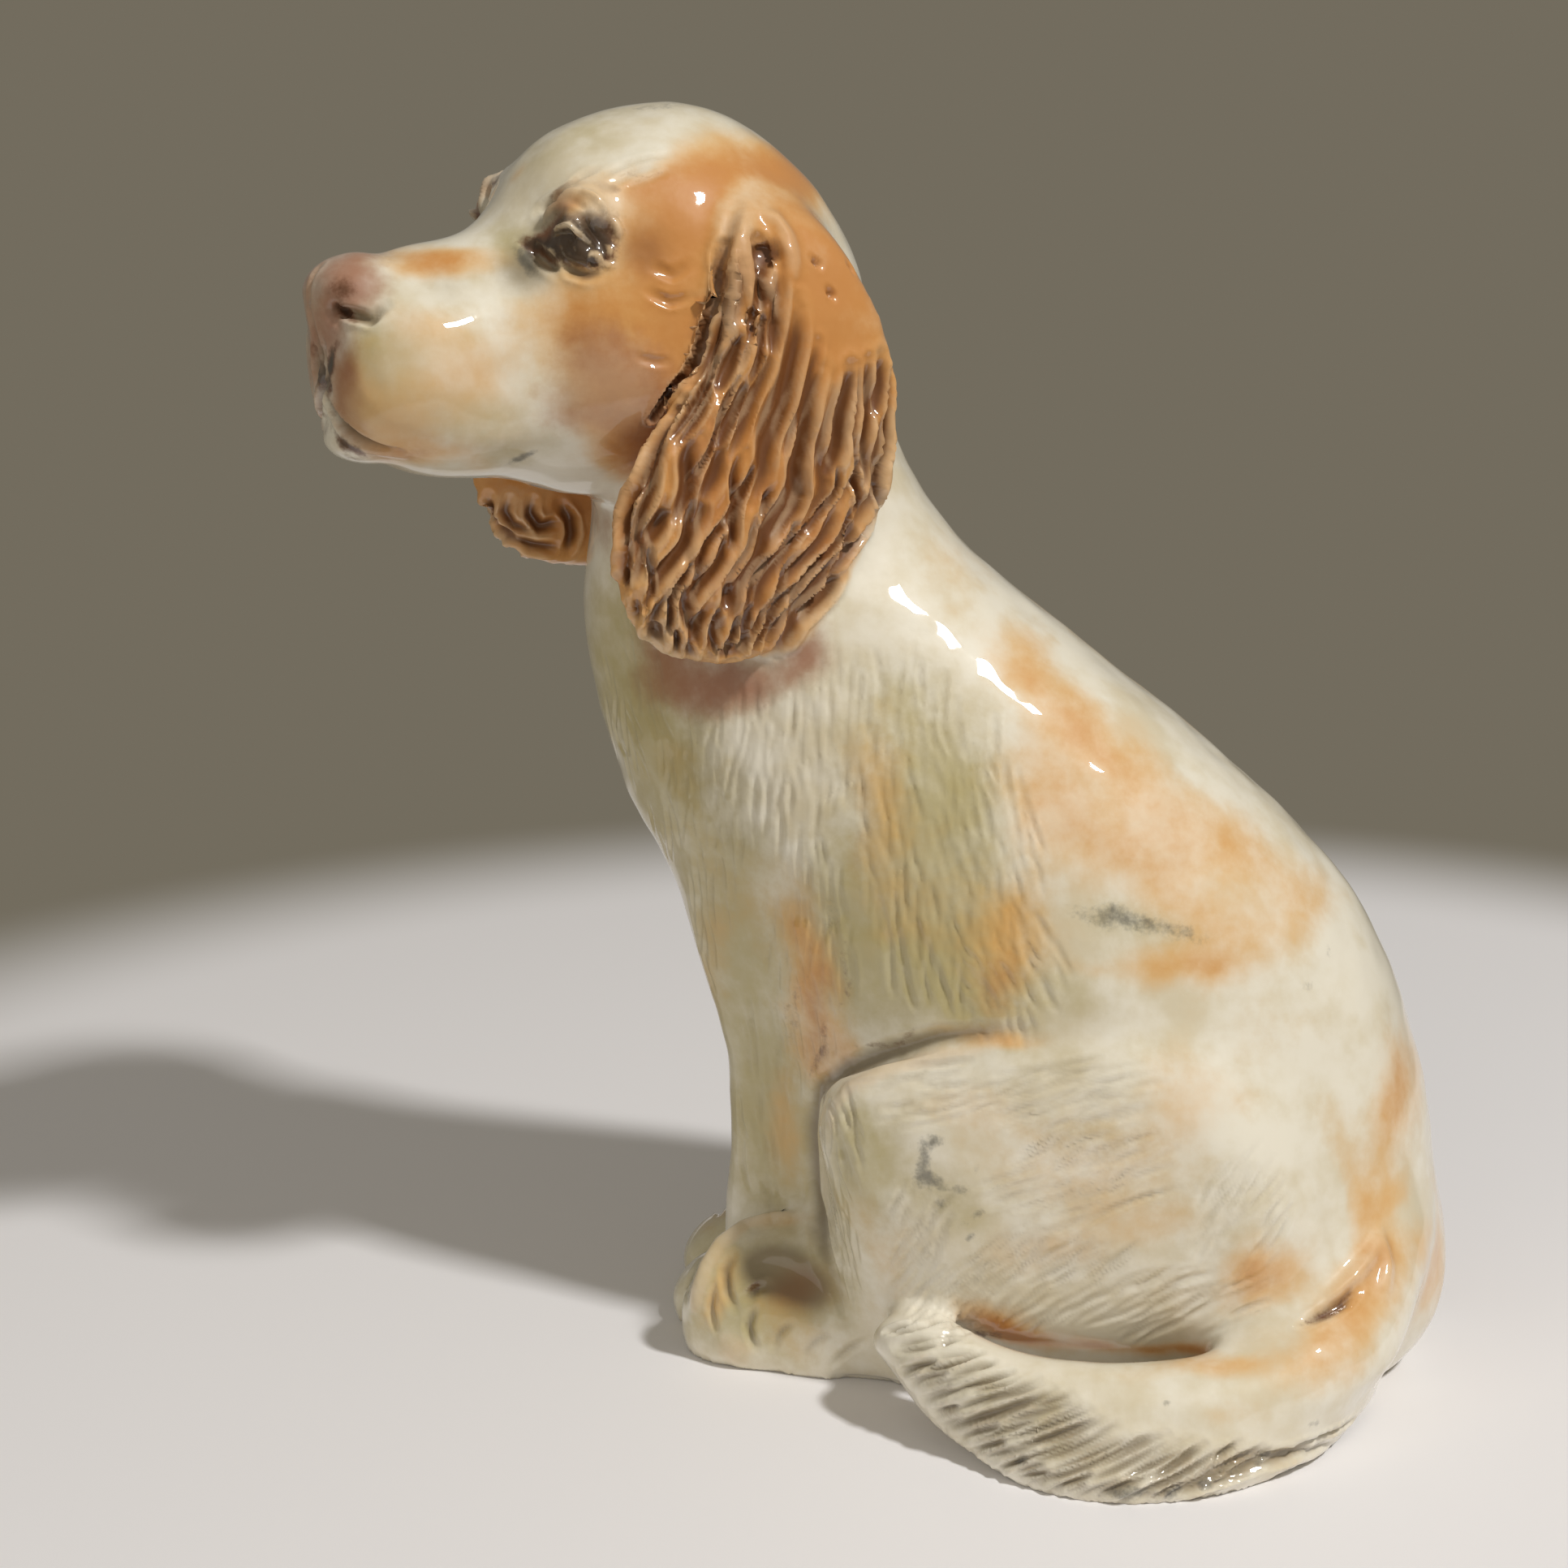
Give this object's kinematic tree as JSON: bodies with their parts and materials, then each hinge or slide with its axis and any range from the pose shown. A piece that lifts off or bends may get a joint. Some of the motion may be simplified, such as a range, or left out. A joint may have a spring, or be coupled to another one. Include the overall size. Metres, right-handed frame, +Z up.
{
  "type": "seated dog figure",
  "caption": "Glazed clay figure of a seated spaniel with long wavy ears, its head turned to one side and its feathered tail curled round a haunch.",
  "frame": {"origin": "on the surface that the figure stands on, in the middle plane of the trunk, in the bare clay of the base slab under the chest end of the hollow", "axes": "+Z up, -Y the way the chest faces, +X the dog's own left, the side that the tail curls round"},
  "size_m": [0.0847, 0.1418, 0.1609],
  "materials": {
    "cream_glaze": "glossy",
    "amber_glaze": "glossy",
    "nose_glaze": "glossy",
    "eye_glaze": "glossy",
    "bare_clay": "matte"
  },
  "bodies": {
    "root": {"torso": "cream_glaze", "head": "cream_glaze", "chin": "cream_glaze", "left_foreleg": "cream_glaze", "left_forepaw": "cream_glaze", "right_foreleg": "cream_glaze", "right_forepaw": "cream_glaze", "left_thigh": "cream_glaze", "left_shin": "cream_glaze", "left_hind_paw": "cream_glaze", "right_thigh": "cream_glaze", "right_shin": "cream_glaze", "right_hind_paw": "cream_glaze", "tail": "cream_glaze", "tail_fringe": "cream_glaze", "left_eyelids": "cream_glaze", "right_eyelids": "cream_glaze", "left_ear": "amber_glaze", "right_ear": "amber_glaze", "nose": "nose_glaze", "left_eye": "eye_glaze", "right_eye": "eye_glaze", "base_slab": "bare_clay"}
  },
  "joints": []
}
